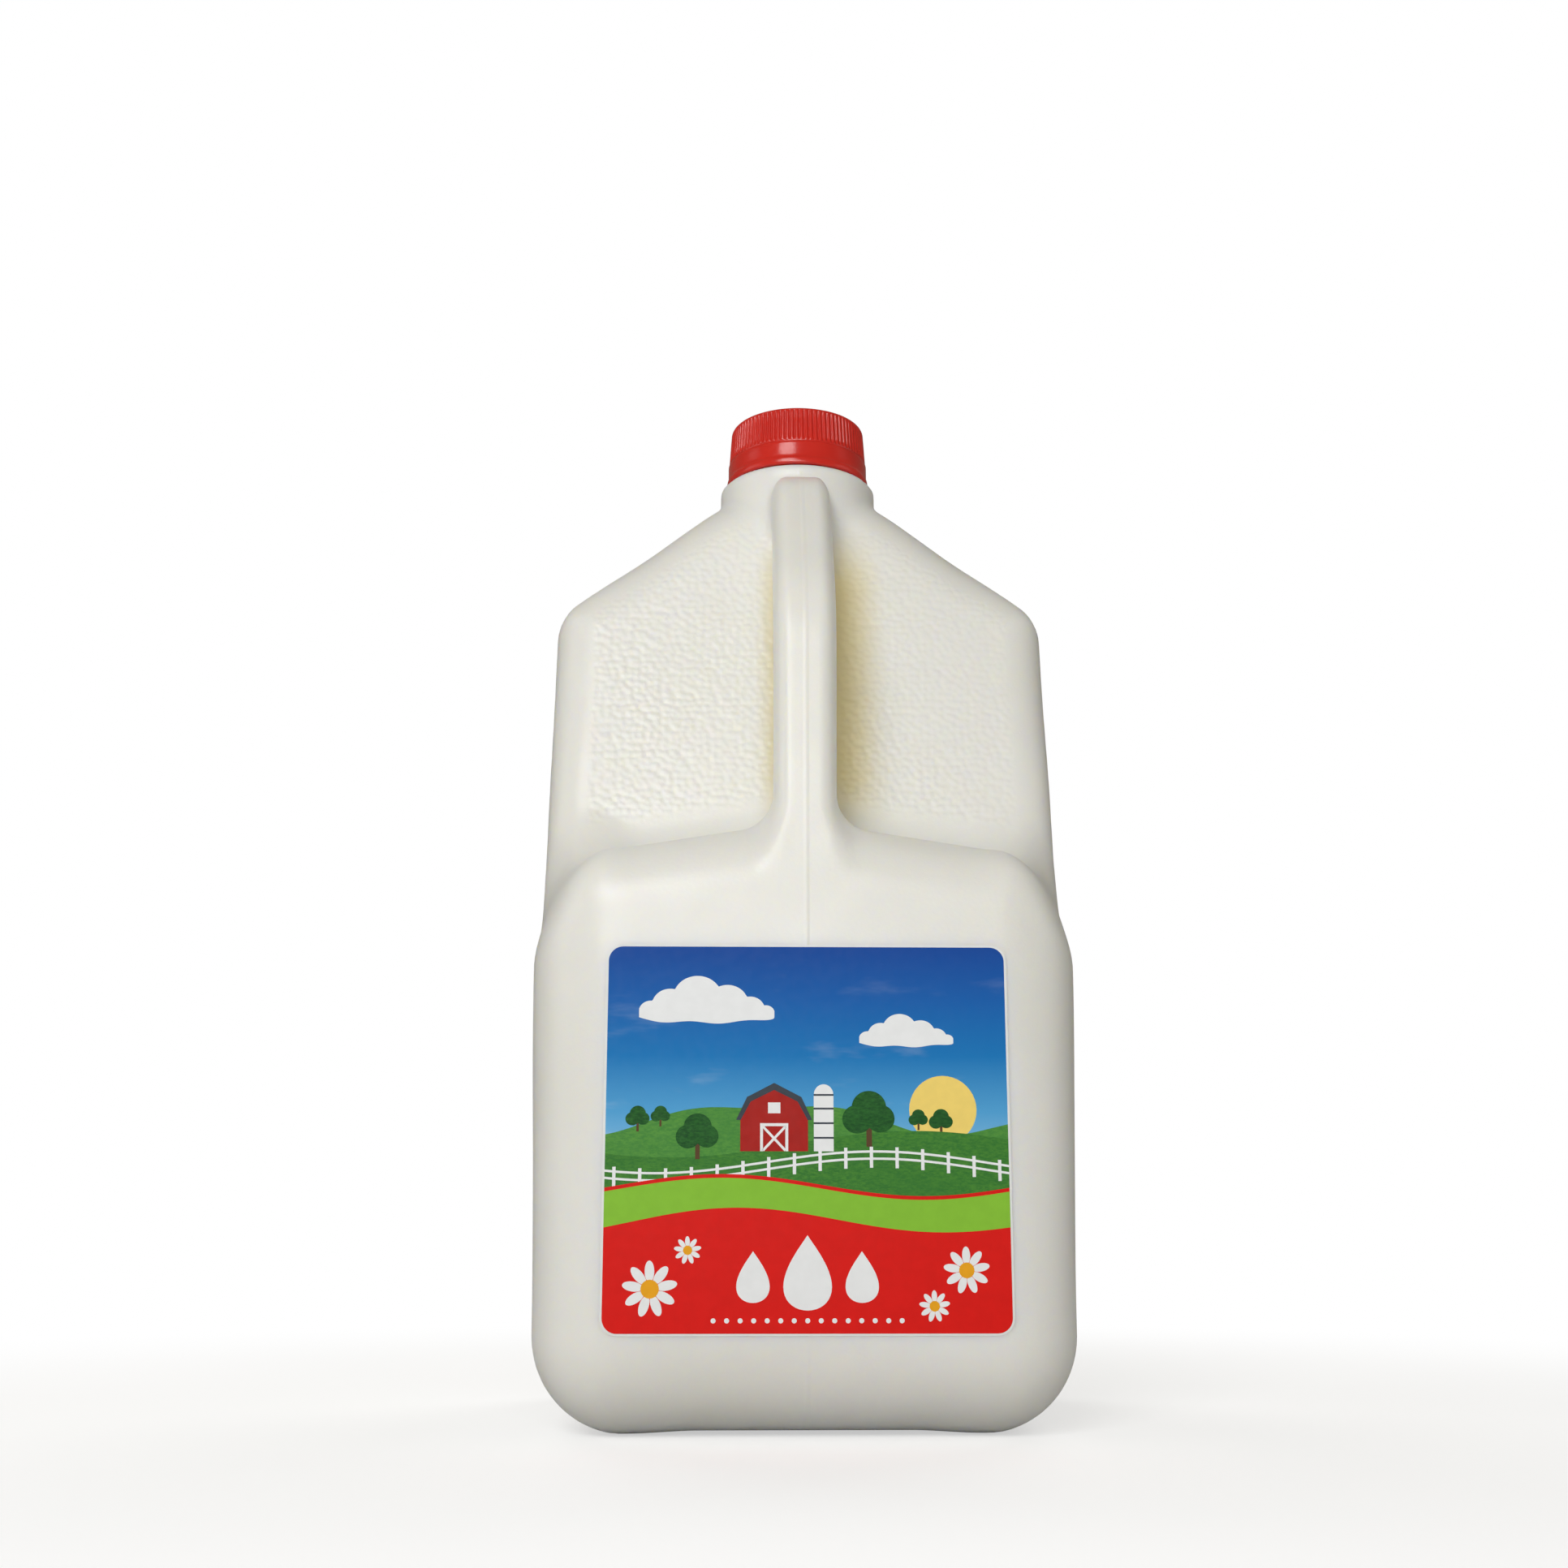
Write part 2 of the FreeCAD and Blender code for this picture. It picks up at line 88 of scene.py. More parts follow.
class Nodes:
    """A small helper for building a material's node tree."""

    def __init__(self, name):
        self.material = bpy.data.materials.new(name)
        self.material.use_nodes = True
        self.tree = self.material.node_tree
        self.shader = self.tree.nodes["Principled BSDF"]

    def add(self, kind, inputs=None, **settings):
        node = self.tree.nodes.new(kind)
        for key, value in settings.items():
            setattr(node, key, value)
        for key, value in (inputs or {}).items():
            if isinstance(value, bpy.types.NodeSocket):
                self.tree.links.new(value, node.inputs[key])
            else:
                node.inputs[key].default_value = value
        return node

    def math(self, operation, *values):
        return self.add("ShaderNodeMath", dict(enumerate(values)), operation=operation).outputs[0]

    def place(self):
        """The point in the object's own space, in metres."""
        return self.add("ShaderNodeTexCoord").outputs["Object"]

    def axes(self):
        return self.add("ShaderNodeSeparateXYZ", {0: self.place()}).outputs

    def noise(self, scale, detail, roughness, vector=None):
        return self.add("ShaderNodeTexNoise", {"Vector": vector or self.place(), "Scale": scale, "Detail": detail,
                                               "Roughness": roughness}).outputs["Fac"]

    def ramp(self, value, stops):
        node = self.add("ShaderNodeValToRGB", {0: value})
        elements = node.color_ramp.elements
        while len(elements) < len(stops):
            elements.new(1.0)
        for element, (at, colour) in zip(elements, stops):
            element.position, element.color = at, colour
        return node.outputs["Color"]

    def fit(self, value, low, high, to_low=0.0, to_high=1.0):
        """The value taken from low..high to to_low..to_high, held outside and eased at both ends."""
        return self.add("ShaderNodeMapRange", {0: value, 1: low, 2: high, 3: to_low, 4: to_high},
                        interpolation_type="SMOOTHSTEP").outputs[0]

    def mix(self, factor, a, b, blend="MIX"):
        node = self.add("ShaderNodeMix", {0: factor}, data_type="RGBA", blend_type=blend)
        for socket, value in ((node.inputs[6], a), (node.inputs[7], b)):
            if isinstance(value, bpy.types.NodeSocket):
                self.tree.links.new(value, socket)
            else:
                socket.default_value = value
        return node.outputs[2]

    def bump(self, height, distance, strength, normal=None):
        inputs = {"Height": height, "Distance": distance, "Strength": strength}
        if normal is not None:
            inputs["Normal"] = normal
        return self.add("ShaderNodeBump", inputs).outputs["Normal"]

    def finish(self, **inputs):
        for key, value in inputs.items():
            socket = self.shader.inputs[key.replace("_", " ")]
            if isinstance(value, bpy.types.NodeSocket):
                self.tree.links.new(value, socket)
            else:
                socket.default_value = value
        return self.material


# ---------------------------------------------------------------- materials

def bottle_material():
    """Milk behind a thin, slightly cloudy wall: creamy white, satin, with light creeping into the shadows.

    The pebbled panel just right of the handle carries painted shade: a warm, darker tint that stands in for the
    handle's cast shadow. A faint seam runs up the middle.
    """
    n = Nodes("milk_filled_plastic")
    cloud = n.noise(14.0, 3.0, 0.55)
    mottle = n.noise(120.0, 2.0, 0.5)
    cream = n.mix(n.fit(cloud, 0.35, 0.65), (0.840, 0.836, 0.785, 1), (0.872, 0.867, 0.827, 1))
    colour = n.mix(n.fit(mottle, 0.35, 0.68, 0.0, 0.35), cream, (0.850, 0.845, 0.802, 1))
    x, y, z = n.axes()
    # Painted shade: the handle's shadow on the pebbled panel to its right, painted into the colour as a warm, darker
    # tint.
    panel_at_floor = (PANEL_FOOT_Y + PANEL_LEAN * PANEL_FOOT_Z) * MM
    past_panel = n.math("ADD", n.math("MULTIPLY_ADD", z, -PANEL_LEAN, y), panel_at_floor)
    on_panel = n.math("MULTIPLY", n.fit(past_panel, -0.007, -0.003), n.fit(past_panel, 0.004, 0.010, 1.0, 0.0))
    beside = n.math("MULTIPLY", n.fit(x, 0.011, 0.026, 1.0, 0.0), n.fit(x, -0.014, -0.004))
    along = n.math("MULTIPLY", n.fit(z, 0.150, 0.172), n.fit(z, 0.225, 0.250, 1.0, 0.0))
    painted_handle_shadow = n.math("MULTIPLY", n.math("MULTIPLY", beside, along), on_panel)
    colour = n.mix(painted_handle_shadow, colour, (0.94, 0.83, 0.50, 1), "MULTIPLY")
    seam = n.fit(n.math("ABSOLUTE", x), 0.0, 0.0009, 1.0, 0.0)
    skin = n.noise(900.0, 2.0, 0.5)
    waves = n.noise(45.0, 1.0, 0.4)
    normal = n.bump(seam, 0.0002, 0.35)
    normal = n.bump(waves, 0.0004, 0.35, normal)
    normal = n.bump(skin, 0.00006, 0.5, normal)
    rough = n.fit(n.noise(60.0, 2.0, 0.6), 0.3, 0.7, 0.29, 0.37)
    return n.finish(Base_Color=colour, Roughness=rough, Normal=normal, IOR=1.5, Specular_IOR_Level=0.45,
                    Subsurface_Weight=0.60, Subsurface_Radius=(1.0, 0.82, 0.42), Subsurface_Scale=0.006)


def cap_material():
    n = Nodes("red_cap_plastic")
    drift = n.noise(90.0, 2.0, 0.5)
    colour = n.mix(n.fit(drift, 0.3, 0.7), (0.60, 0.019, 0.011, 1), (0.66, 0.025, 0.015, 1))
    skin = n.noise(1400.0, 2.0, 0.5)
    rough = n.fit(n.noise(260.0, 2.0, 0.6), 0.3, 0.7, 0.17, 0.23)
    return n.finish(Base_Color=colour, Roughness=rough, Normal=n.bump(skin, 0.00004, 0.4), IOR=1.5,
                    Specular_IOR_Level=0.5, Subsurface_Weight=0.25, Subsurface_Radius=(1.0, 0.2, 0.12),
                    Subsurface_Scale=0.0015)


def finish_print(n, colour):
    """The satin that every printed field shares."""
    rough = n.fit(n.noise(500.0, 2.0, 0.5), 0.3, 0.7, 0.34, 0.44)
    return n.finish(Base_Color=colour, Roughness=rough, IOR=1.45, Specular_IOR_Level=0.10)


def print_material(name, colour, variation):
    """A printed field: the ink's colour with a faint unevenness."""
    n = Nodes(name)
    dark = tuple(c * (1 - variation) for c in colour[:3]) + (1,)
    return finish_print(n, n.mix(n.fit(n.noise(260.0, 2.0, 0.6), 0.3, 0.7), dark, colour))


def sky_material(low, high):
    """Pale at the horizon, deep blue at the top, with faint wisps."""
    n = Nodes("print_sky")
    z = n.axes()["Z"]
    flattened = n.add("ShaderNodeMapping", {"Vector": n.place(), "Scale": (1.0, 1.0, 3.5)}).outputs[0]
    wisp = n.noise(30.0, 4.0, 0.6, flattened)
    height = n.fit(z, low, high)
    height.node.interpolation_type = "LINEAR"
    sky = n.ramp(height, [(0.0, srgb(128, 193, 235)), (0.18, srgb(84, 166, 220)), (0.45, srgb(24, 122, 192)),
                          (0.72, srgb(20, 98, 178)), (1.0, srgb(18, 72, 158))])
    soft = n.math("MULTIPLY", n.fit(wisp, 0.55, 0.8, 0.0, 0.30), n.fit(z, low, high, 1.0, 0.2))
    return finish_print(n, n.mix(soft, sky, (0.85, 0.92, 0.97, 1)))


def grass_material(name, light, dark):
    n = Nodes(name)
    stretched = n.add("ShaderNodeMapping", {"Vector": n.place(), "Scale": (1.0, 1.0, 2.6)}).outputs[0]
    tuft = n.noise(900.0, 3.0, 0.65, stretched)
    field = n.noise(60.0, 2.0, 0.5, stretched)
    colour = n.mix(n.fit(tuft, 0.3, 0.7), dark, light)
    return finish_print(n, n.mix(n.fit(field, 0.35, 0.65, 0.0, 0.3), colour, dark))


def floor_material():
    """Pale floor, lifted a little for the camera so that it reads as the white background but keeps the shadow."""
    n = Nodes("pale_floor")
    grain = n.fit(n.noise(3.0, 2.0, 0.5), 0.3, 0.7)
    colour = n.mix(grain, (0.60, 0.60, 0.60, 1), (0.62, 0.62, 0.62, 1))
    n.finish(Base_Color=colour, Roughness=0.9, Specular_IOR_Level=0.0)
    path = n.add("ShaderNodeLightPath")
    seen = path.outputs["Is Camera Ray"]
    x, y, _ = n.axes()
    away = n.fit(n.math("SQRT", n.math("ADD", n.math("MULTIPLY", x, x), n.math("MULTIPLY", y, y))), 0.14, 0.50)
    lift = n.add("ShaderNodeEmission", {"Color": (1, 1, 1, 1), "Strength": n.math("MULTIPLY", seen, FLOOR_LIFT)})
    near = n.add("ShaderNodeAddShader", {0: n.shader.outputs[0], 1: lift.outputs[0]})
    white = n.add("ShaderNodeEmission", {"Color": (1, 1, 1, 1), "Strength": 1.0})
    blend = n.add("ShaderNodeMixShader", {0: n.math("MULTIPLY", seen, away), 1: near.outputs[0], 2: white.outputs[0]})
    n.tree.links.new(blend.outputs[0], n.tree.nodes["Material Output"].inputs["Surface"])
    return n.material


# ---------------------------------------------------------------- shape fields, in millimetres

BODY_HALF_X = 69.6
BODY_HALF_Y = 69.3
BASE_HALF_X = 67.4
CORNER = 21.0
SHOULDER_Z = 221.6
SHOULDER_ROUND = 5.4
NECK_FOOT_Z = 260.6
NECK_TOP_Z = 266.7
NECK_RADIUS = 22.85
SLOPE_FACTOR = 0.628  # turns a distance in plan into one square to the shoulders
SLOPE_CORE = 0.3  # what is left of the straight sides where the shoulders reach the neck
DISH_DEPTH = 4.2
DISH_RADIUS = 42
FOOT_HEIGHT = 0.7
BASE_ROUND = 24.0
LEDGE_Z = 152.8
PANEL_SLOPE = 0.98  # turns a distance along an axis into one square to the ledge or a panel
HANDLE_LEAN = math.radians(35.4)
HANDLE_MIDDLE_Y = -61.0
HANDLE_FOOT_Z = 124.0
HANDLE_BEND_Z = 207.9
HANDLE_TOP_Z = 252.3
HANDLE_BEND_RADIUS = 29.3
HANDLE_CROWN_RADIUS = 15.6
HANDLE_HALF_WIDTH = 8.2
HANDLE_HALF_DEPTH = 8.3
HANDLE_CORNER = 3.8
FACET_START = 5.3  # how far in front of the bar's middle line its slanting faces leave the sides
FACET_ROUND = 1.8


def smooth(low, high, x):
    t = np.clip((x - low) / (high - low), 0, 1)
    return t * t * (3 - 2 * t)


def meet(a, b, r):
    """Inside both, with the edge between them rounded."""
    return np.minimum(np.maximum(a, b), -r) + np.hypot(np.maximum(a + r, 0), np.maximum(b + r, 0))


def join(a, b, r):
    """Inside either, with the corner between them filled."""
    return -meet(-a, -b, r)


def plan_box(x, y, half_x, half_y, corner):
    """Distance to a rectangle with rounded corners, negative inside."""
    qx, qy = np.abs(x) - half_x + corner, np.abs(y) - half_y + corner
    return np.hypot(np.maximum(qx, 0), np.maximum(qy, 0)) + np.minimum(np.maximum(qx, qy), 0) - corner


def walls_field(x, y, z):
    half_x = BASE_HALF_X + (BODY_HALF_X - BASE_HALF_X) * smooth(20, 120, z)
    return plan_box(x, y, half_x, BODY_HALF_Y, CORNER)


def slope_field(x, y, z):
    t = (z - SHOULDER_Z) / (NECK_FOOT_Z - SHOULDER_Z)
    core_x = np.maximum((BODY_HALF_X - CORNER) * (1 - t) + SLOPE_CORE * t, 0)
    core_y = np.maximum((BODY_HALF_Y - CORNER) * (1 - t) + SLOPE_CORE * t, 0)
    return plan_box(x, y, core_x + CORNER, core_y + CORNER, CORNER) * SLOPE_FACTOR


def ledge_height(x):
    """The ledge falls gently from its middle and rolls off at the two sides."""
    ax = np.abs(x)
    return LEDGE_Z - 0.16 * ax - 11.5 * np.maximum((ax - 50) / 18, 0) ** 1.7


def panel_y(z):
    return -(PANEL_FOOT_Y - PANEL_LEAN * (z - PANEL_FOOT_Z))


def segment_distance(u, v, a, b):
    (au, av), (bu, bv) = a, b
    du, dv = bu - au, bv - av
    t = np.clip(((u - au) * du + (v - av) * dv) / (du * du + dv * dv), 0, 1)
    return np.hypot(u - au - t * du, v - av - t * dv)


def arc_distance(u, v, centre, radius, start, end):
    """Distance to an arc from angle start to angle end, in degrees; far away outside that range."""
    angle = np.degrees(np.arctan2(v - centre[1], u - centre[0]))
    d = np.abs(np.hypot(u - centre[0], v - centre[1]) - radius)
    return np.where((angle >= start) & (angle <= end), d, 1e3)


def handle_field(x, y, z):
    """A bar along a path seen from the side: up, round the bend, back and up, round the crown, back to the neck."""
    lean, middle, bend_z, top_z = HANDLE_LEAN, HANDLE_MIDDLE_Y, HANDLE_BEND_Z, HANDLE_TOP_Z
    bend_r, crown_r = HANDLE_BEND_RADIUS, HANDLE_CROWN_RADIUS
    along = (math.sin(lean), math.cos(lean))
    cut = bend_r * math.tan(lean / 2)
    bend_start = (middle, bend_z - cut)
    bend_end = (middle + cut * along[0], bend_z + cut * along[1])
    run = (top_z - bend_z) / along[1]
    corner = (middle + run * along[0], top_z)
    cut = crown_r * math.tan((math.pi / 2 - lean) / 2)
    crown_start = (corner[0] - cut * along[0], corner[1] - cut * along[1])
    crown_end = (corner[0] + cut, top_z)
    bend_centre, crown_centre = (middle + bend_r, bend_start[1]), (crown_end[0], top_z - crown_r)
    turned = 180 - math.degrees(lean)
    distance = np.stack([segment_distance(y, z, (middle, HANDLE_FOOT_Z), bend_start),
                         arc_distance(y, z, bend_centre, bend_r, turned, 180),
                         segment_distance(y, z, bend_end, crown_start),
                         arc_distance(y, z, crown_centre, crown_r, 90, turned),
                         segment_distance(y, z, crown_end, (0.0, top_z))])
    forward = np.stack([middle - y,
                        np.hypot(y - bend_centre[0], z - bend_centre[1]) - bend_r,
                        (z - bend_end[1]) * along[0] - (y - bend_end[0]) * along[1],
                        np.hypot(y - crown_centre[0], z - crown_centre[1]) - crown_r,
                        z - top_z])
    near = distance.argmin(0)[None]
    d = np.take_along_axis(distance, near, 0)[0]
    n = np.take_along_axis(forward, near, 0)[0]
    bar = plan_box(x, d, HANDLE_HALF_WIDTH, HANDLE_HALF_DEPTH, HANDLE_CORNER)
    facet = (np.abs(x) - HANDLE_HALF_WIDTH) * 0.835 + (n - FACET_START) * 0.549
    return meet(bar, facet, FACET_ROUND)


def jug_field(p):
    """The bottle without its mouth: block, shoulders, dished base, recess, handle and neck."""
    x, y, z = p[..., 0], p[..., 1], p[..., 2]
    body = meet(walls_field(x, y, z), slope_field(x, y, z), SHOULDER_ROUND)
    rho = np.hypot(x, y)
    feet = smooth(26, 44, np.abs(x)) * smooth(26, 44, np.abs(y))
    dish = DISH_DEPTH * (1 - smooth(0.15, 1.0, rho / DISH_RADIUS)) + FOOT_HEIGHT * (1 - feet)
    body = meet(body, dish - z, BASE_ROUND)
    side = smooth(42, 62, np.abs(x))
    keep = join((z - ledge_height(x)) * PANEL_SLOPE, (panel_y(z) - y) * PANEL_SLOPE, 9.0 + 13.0 * side)
    body = meet(body, keep, 16.0 - side * (5.0 * smooth(122, 145, z) - 2.0 * smooth(165, 200, z)))
    body = join(body, handle_field(x, y, z), 8.0 - 4.0 * smooth(165, 235, z))
    body = np.maximum(body, -BODY_HALF_Y - y)
    neck = meet(rho - NECK_RADIUS, z - NECK_TOP_Z, 2.0)
    return join(body, neck, 2.2)


def gradient(field, p):
    out = np.empty_like(p)
    step = 0.25
    for axis in range(3):
        shift = np.zeros(3)
        shift[axis] = step
        out[:, axis] = (field(p + shift) - field(p - shift)) / (2 * step)
    return out


def project(field, p, rounds):
    """Moves the points on to the field's zero surface."""
    for _ in range(rounds):
        g = gradient(field, p)
        p = p - g * (field(p) / np.maximum((g * g).sum(1), 0.2))[:, None]
    return p


def surface_net(field, low, high, step):
    """Vertices and quads round the field's zero surface."""
    axes = [np.arange(a, b + step, step) for a, b in zip(low, high)]
    shape = tuple(len(a) for a in axes)
    grid = np.stack(np.meshgrid(*axes, indexing="ij"), -1)
    values = np.concatenate([field(grid[i:i + 8]) for i in range(0, shape[0], 8)])
    inside = values < 0
    cells = tuple(n - 1 for n in shape)
    total, count = np.zeros(cells + (3,)), np.zeros(cells)
    crossings = []
    for axis in range(3):
        first = [slice(None)] * 3
        second = [slice(None)] * 3
        first[axis], second[axis] = slice(None, -1), slice(1, None)
        a, b = values[tuple(first)], values[tuple(second)]
        cross = inside[tuple(first)] != inside[tuple(second)]
        at = np.where(cross, a / np.where(cross, a - b, 1), 0)
        others = [k for k in range(3) if k != axis]
        for s in (0, 1):
            for t in (0, 1):
                window = [slice(None)] * 3
                window[others[0]] = slice(s, cells[others[0]] + s)
                window[others[1]] = slice(t, cells[others[1]] + t)
                hit = cross[tuple(window)]
                count += hit
                total[..., axis] += np.where(hit, at[tuple(window)], 0)
                total[..., others[0]] += hit * s
                total[..., others[1]] += hit * t
        crossings.append(cross)
    active = count > 0
    index = np.full(cells, -1)
    index[active] = np.arange(active.sum())
    where = np.argwhere(active)
    points = np.array(low) + step * (where + total[active] / count[active][:, None])
    quads = []
    for axis in range(3):
        u, v = (axis + 1) % 3, (axis + 2) % 3
        i = np.argwhere(crossings[axis])
        i = i[(i[:, u] > 0) & (i[:, v] > 0) & (i[:, u] < cells[u]) & (i[:, v] < cells[v])]
        corners = []
        for du, dv in ((1, 1), (0, 1), (0, 0), (1, 0)):
            j = i.copy()
            j[:, u] -= du
            j[:, v] -= dv
            corners.append(index[tuple(j.T)])
        quad = np.stack(corners, 1)
        flip = ~inside[tuple(i.T)]
        quad[flip] = quad[flip][:, ::-1]
        quads.append(quad)
    return points, np.concatenate(quads)


def relax(field, p, edges, rounds):
    """Evens the vertices out along the surface."""
    for _ in range(rounds):
        total, count = np.zeros_like(p), np.zeros(len(p))
        for a, b in ((0, 1), (1, 0)):
            for k in range(3):
                total[:, k] += np.bincount(edges[:, a], p[edges[:, b], k], len(p))
            count += np.bincount(edges[:, a], minlength=len(p))
        p = p + 0.6 * (total / count[:, None] - p)
        p = project(field, p, 1)
    return project(field, p, 3)


# ---------------------------------------------------------------- pebbled panels

PEBBLE_PITCH = 1.95
PEBBLE_HEIGHT = 0.16


def pebble_mask(p):
    """1 on the flat panels, 0 elsewhere, with a smooth strip left along their edges."""
    x, y, z = p.T
    on_panel = 1 - smooth(0.6, 1.6, np.abs(panel_y(z) - y))
    inside = smooth(10.5, 13.0, -walls_field(x, y, z)) * smooth(6.0, 9.0, -slope_field(x, y, z))
    return on_panel * inside * smooth(10.5, 14.0, z - ledge_height(x))


def pebbles(u, v):
    """Rounded grains on a jittered grid, from 0 to 1."""
    rng = np.random.default_rng(7)
    size = 128
    jitter = rng.uniform(-0.36, 0.36, (size, size, 2))
    weight = rng.uniform(0.65, 1.0, (size, size))
    u, v = u / PEBBLE_PITCH, v / PEBBLE_PITCH
    iu, iv = np.floor(u).astype(int), np.floor(v).astype(int)
    best = np.zeros(len(u))
    for du in (-1, 0, 1):
        for dv in (-1, 0, 1):
            a, b = (iu + du) % size, (iv + dv) % size
            grain_u = iu + du + 0.5 + jitter[a, b, 0] + 0.25 * ((iv + dv) % 2)
            grain_v = iv + dv + 0.5 + jitter[a, b, 1]
            d = np.hypot(u - grain_u, v - grain_v)
            best = np.maximum(best, weight[a, b] * np.clip(1 - (d / 0.62) ** 2, 0, 1))
    return best


def undulation(p):
    """The slight waviness of a blow-moulded wall, in millimetres."""
    x, y, z = p.T
    wave = np.sin(x / 17 + 1.3) * np.sin(z / 23 + 0.4) + np.sin(y / 19 + 2.0) * np.sin(z / 31 + 1.1)
    wave = wave + 0.6 * np.sin((x + z) / 13 + 0.7) * np.sin((y - z) / 21)
    return 0.07 * wave


# ---------------------------------------------------------------- mesh helpers

def add_piece(name, vertices, faces, material, smooth_faces=True):
    mesh = bpy.data.meshes.new(name)
    points = [tuple(v) for v in np.asarray(vertices, float) * MM]
    mesh.from_pydata(points, [], [tuple(int(i) for i in f) for f in faces])
    mesh.update()
    piece = bpy.data.objects.new(name, mesh)
    bpy.context.scene.collection.objects.link(piece)
    mesh.materials.append(material)
    mesh.shade_smooth() if smooth_faces else mesh.shade_flat()
    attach(piece, "root")
    return piece


def refine(mesh, chosen):
    """Splits the chosen faces in four."""
    bm = bmesh.new()
    bm.from_mesh(mesh)
    bm.faces.ensure_lookup_table()
    edges = {e for i in chosen for e in bm.faces[i].edges}
    bmesh.ops.subdivide_edges(bm, edges=list(edges), cuts=1, use_grid_fill=True)
    bm.to_mesh(mesh)
    bm.free()


def face_centres(mesh):
    out = np.zeros(len(mesh.polygons) * 3)
    mesh.polygons.foreach_get("center", out)
    return out.reshape(-1, 3)


def vertex_array(mesh):
    out = np.zeros(len(mesh.vertices) * 3)
    mesh.vertices.foreach_get("co", out)
    return out.reshape(-1, 3)


def edge_array(mesh):
    out = np.zeros(len(mesh.edges) * 2, int)
    mesh.edges.foreach_get("vertices", out)
    return out.reshape(-1, 2)


def set_vertices(mesh, p):
    mesh.vertices.foreach_set("co", np.ascontiguousarray(p, np.float32).ravel())
    mesh.update()


def revolve(name, rings, steps, material, radius=None):
    """A turned piece from rings of (radius, height) that start and end on the axis.

    radius(r, z, angle), if given, shapes each ring.
    """
    angle = np.arange(steps) * 2 * math.pi / steps
    vertices, faces = [(0, 0, rings[0][1])], []
    for r, z in rings[1:-1]:
        rr = np.full(steps, r) if radius is None else radius(r, z, angle)
        vertices.extend(zip(rr * np.cos(angle), rr * np.sin(angle), np.full(steps, z)))
    vertices.append((0, 0, rings[-1][1]))
    count = len(rings) - 2
    for k in range(steps):
        n = (k + 1) % steps
        faces.append((0, 1 + k, 1 + n))
        for j in range(count - 1):
            a, b = 1 + j * steps, 1 + (j + 1) * steps
            faces.append((a + k, b + k, b + n, a + n))
        last = 1 + (count - 1) * steps
        faces.append((last + k, len(vertices) - 1, last + n))
    return add_piece(name, vertices, faces, material)


# ---------------------------------------------------------------- bottle

NET_LOW = (-72.1, -72.1, -3.1)
NET_HIGH = (72.1, 72.1, 268.0)
NET_STEP = 2.1


def make_bottle(material):
    points, quads = surface_net(jug_field, NET_LOW, NET_HIGH, NET_STEP)
    mesh = bpy.data.meshes.new("bottle_body")
    mesh.from_pydata(points.tolist(), [], quads.tolist())
    mesh.update()
    p = relax(jug_field, vertex_array(mesh), edge_array(mesh), 6)
    set_vertices(mesh, p)

    def panel(c):
        return pebble_mask(c) > 0.02

    def detail(c):
        bar = (np.abs(handle_field(*c.T)) < 1.5) & (c[:, 2] > 140)
        return panel(c) | bar | (c[:, 2] > 254)

    for test in (detail, panel):
        refine(mesh, np.flatnonzero(test(face_centres(mesh))))
        p = relax(jug_field, vertex_array(mesh), edge_array(mesh), 1)
        set_vertices(mesh, p)
    g = gradient(jug_field, p)
    g /= np.linalg.norm(g, axis=1)[:, None]
    x, y, z = p.T
    height = PEBBLE_HEIGHT * (pebbles(x, z * 1.01) - 0.35) * pebble_mask(p)
    off_label = smooth(0.0, 6.0, np.maximum(np.abs(x) - 49, np.maximum(24 - z, z - 118))) + (y > -60)
    wavy = np.clip(off_label, 0, 1) * smooth(2, 8, z) * (1 - smooth(242, 250, z))
    height = height - (0.05 + 0.9 * undulation(p)) * wavy
    p = np.clip(p + g * height[:, None], (-BODY_HALF_X, -BODY_HALF_Y, 0), (BODY_HALF_X, BODY_HALF_Y, 300))
    set_vertices(mesh, p * MM)
    mesh.shade_smooth()
    mesh.materials.append(material)
    body = bpy.data.objects.new("bottle_body", mesh)
    bpy.context.scene.collection.objects.link(body)
    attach(body, "root")
    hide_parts("bottle")

    rings = [(0, 258.0), (18.5, 258.0), (20.6, 260.5), (21.3, 263.0), (21.5, 265.0), (21.2, 266.3), (20.6, 267.0),
             (19.4, 267.2), (18.4, 267.4), (18.2, 267.8), (18.2, 282.4), (17.9, 282.9), (0, 282.9)]
    revolve("bottle_finish", rings, 240, material)


# ---------------------------------------------------------------- cap

RIBS = 90
RIB_DEPTH = 0.50
STEPS_PER_RIB = 10
CAP_EDGE_RADIUS = 1.2
CAP_EDGE_STEPS = 5


